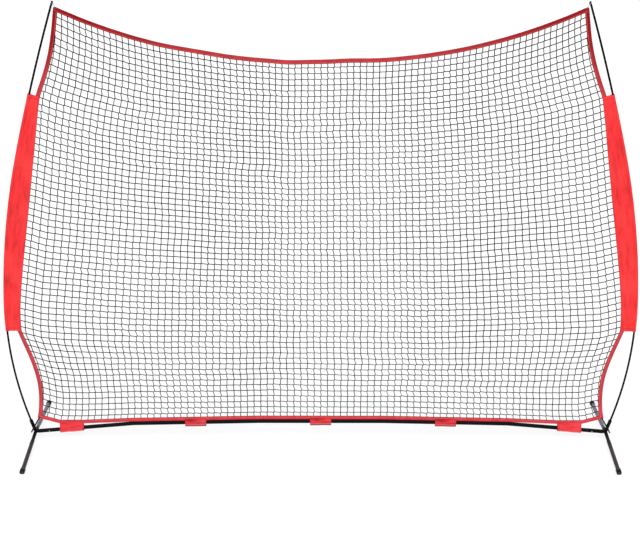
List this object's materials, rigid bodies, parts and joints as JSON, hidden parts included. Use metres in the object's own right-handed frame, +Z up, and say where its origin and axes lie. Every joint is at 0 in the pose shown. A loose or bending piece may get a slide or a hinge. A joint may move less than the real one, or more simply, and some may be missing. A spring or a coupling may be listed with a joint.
{
  "type": "pitching target net",
  "caption": "Free-standing pitching net: jointed steel base with capped feet, bowed fibreglass poles, bound netting with pole sleeves and crossbar tabs, and sprung snap buttons.",
  "frame": {"origin": "On the floor, midway between the two hubs and midway between the front and rear feet.", "axes": "+X along the crossbar to the viewer's right, +Y from the front to the rear, +Z up."},
  "size_m": [3.9204, 0.902, 2.8163],
  "materials": {
    "steel_tube": "satin black paint on steel tube",
    "rubber": "matte black moulded rubber",
    "fibreglass": "smooth black resin on glass-fibre tube",
    "bright_steel": "bright plated steel",
    "pale_cord": "light grey braided elastic cord",
    "black_elastic": "black braided elastic",
    "netting": "knotless black polyester cord",
    "binding_tape": "folded red woven tape",
    "sleeve_cloth": "red coated polyester cloth",
    "hook_strip": "black hook-and-loop strip"
  },
  "bodies": {
    "frame": {"crossbar_centre": "steel_tube", "crossbar_mid_left": "steel_tube", "crossbar_mid_right": "steel_tube", "crossbar_end_left": "steel_tube", "crossbar_end_right": "steel_tube", "hub_left": "steel_tube", "hub_right": "steel_tube", "foot_front_left": "steel_tube", "foot_front_right": "steel_tube", "foot_rear_left": "steel_tube", "foot_rear_right": "steel_tube", "foot_cap_front_left": "rubber", "foot_cap_front_right": "rubber", "foot_cap_rear_left": "rubber", "foot_cap_rear_right": "rubber", "pole_lower_left": "fibreglass", "pole_lower_right": "fibreglass", "pole_middle_left": "fibreglass", "pole_middle_right": "fibreglass", "pole_upper_left": "fibreglass", "pole_upper_right": "fibreglass", "ferrule_lower_left": "bright_steel", "ferrule_lower_right": "bright_steel", "ferrule_upper_left": "bright_steel", "ferrule_upper_right": "bright_steel", "shock_cord_left": "pale_cord", "shock_cord_right": "pale_cord", "tip_cap_left": "rubber", "tip_cap_right": "rubber", "tip_loop_left": "pale_cord", "tip_loop_right": "pale_cord", "corner_loop_left": "black_elastic", "corner_loop_right": "black_elastic", "netting": "netting", "binding_top": "binding_tape", "binding_bottom": "binding_tape", "binding_left": "binding_tape", "binding_right": "binding_tape", "pole_sleeve_left": "sleeve_cloth", "pole_sleeve_right": "sleeve_cloth", "tab_centre": "sleeve_cloth", "tab_mid_left": "sleeve_cloth", "tab_mid_right": "sleeve_cloth", "tab_outer_left": "sleeve_cloth", "tab_outer_right": "sleeve_cloth", "tab_hook_strips": "hook_strip", "button_springs": "bright_steel"},
    "button_hub_left": {"button_hub_left": "bright_steel"},
    "button_hub_right": {"button_hub_right": "bright_steel"},
    "button_end_left": {"button_end_left": "bright_steel"},
    "button_end_right": {"button_end_right": "bright_steel"},
    "button_mid_left": {"button_mid_left": "bright_steel"},
    "button_mid_right": {"button_mid_right": "bright_steel"},
    "button_foot_front_left": {"button_foot_front_left": "bright_steel"},
    "button_foot_front_right": {"button_foot_front_right": "bright_steel"},
    "button_foot_rear_left": {"button_foot_rear_left": "bright_steel"},
    "button_foot_rear_right": {"button_foot_rear_right": "bright_steel"}
  },
  "joints": [
    {"name": "button_hub_left_press", "type": "slide", "parent": "frame", "child": "button_hub_left", "axis": [0, 1, 0], "range_m": [0, 0.0045], "stiffness_N_per_m": 1500},
    {"name": "button_hub_right_press", "type": "slide", "parent": "frame", "child": "button_hub_right", "axis": [0, 1, 0], "range_m": [0, 0.0045], "stiffness_N_per_m": 1500},
    {"name": "button_end_left_press", "type": "slide", "parent": "frame", "child": "button_end_left", "axis": [0, -1, 0], "range_m": [0, 0.0045], "stiffness_N_per_m": 1500},
    {"name": "button_end_right_press", "type": "slide", "parent": "frame", "child": "button_end_right", "axis": [0, -1, 0], "range_m": [0, 0.0045], "stiffness_N_per_m": 1500},
    {"name": "button_mid_left_press", "type": "slide", "parent": "frame", "child": "button_mid_left", "axis": [0, -1, 0], "range_m": [0, 0.0045], "stiffness_N_per_m": 1500},
    {"name": "button_mid_right_press", "type": "slide", "parent": "frame", "child": "button_mid_right", "axis": [0, -1, 0], "range_m": [0, 0.0045], "stiffness_N_per_m": 1500},
    {"name": "button_foot_front_left_press", "type": "slide", "parent": "frame", "child": "button_foot_front_left", "axis": [1, 0, 0], "range_m": [0, 0.0045], "stiffness_N_per_m": 1500},
    {"name": "button_foot_front_right_press", "type": "slide", "parent": "frame", "child": "button_foot_front_right", "axis": [-1, 0, 0], "range_m": [0, 0.0045], "stiffness_N_per_m": 1500},
    {"name": "button_foot_rear_left_press", "type": "slide", "parent": "frame", "child": "button_foot_rear_left", "axis": [1, 0, 0], "range_m": [0, 0.0045], "stiffness_N_per_m": 1500},
    {"name": "button_foot_rear_right_press", "type": "slide", "parent": "frame", "child": "button_foot_rear_right", "axis": [-1, 0, 0], "range_m": [0, 0.0045], "stiffness_N_per_m": 1500}
  ]
}
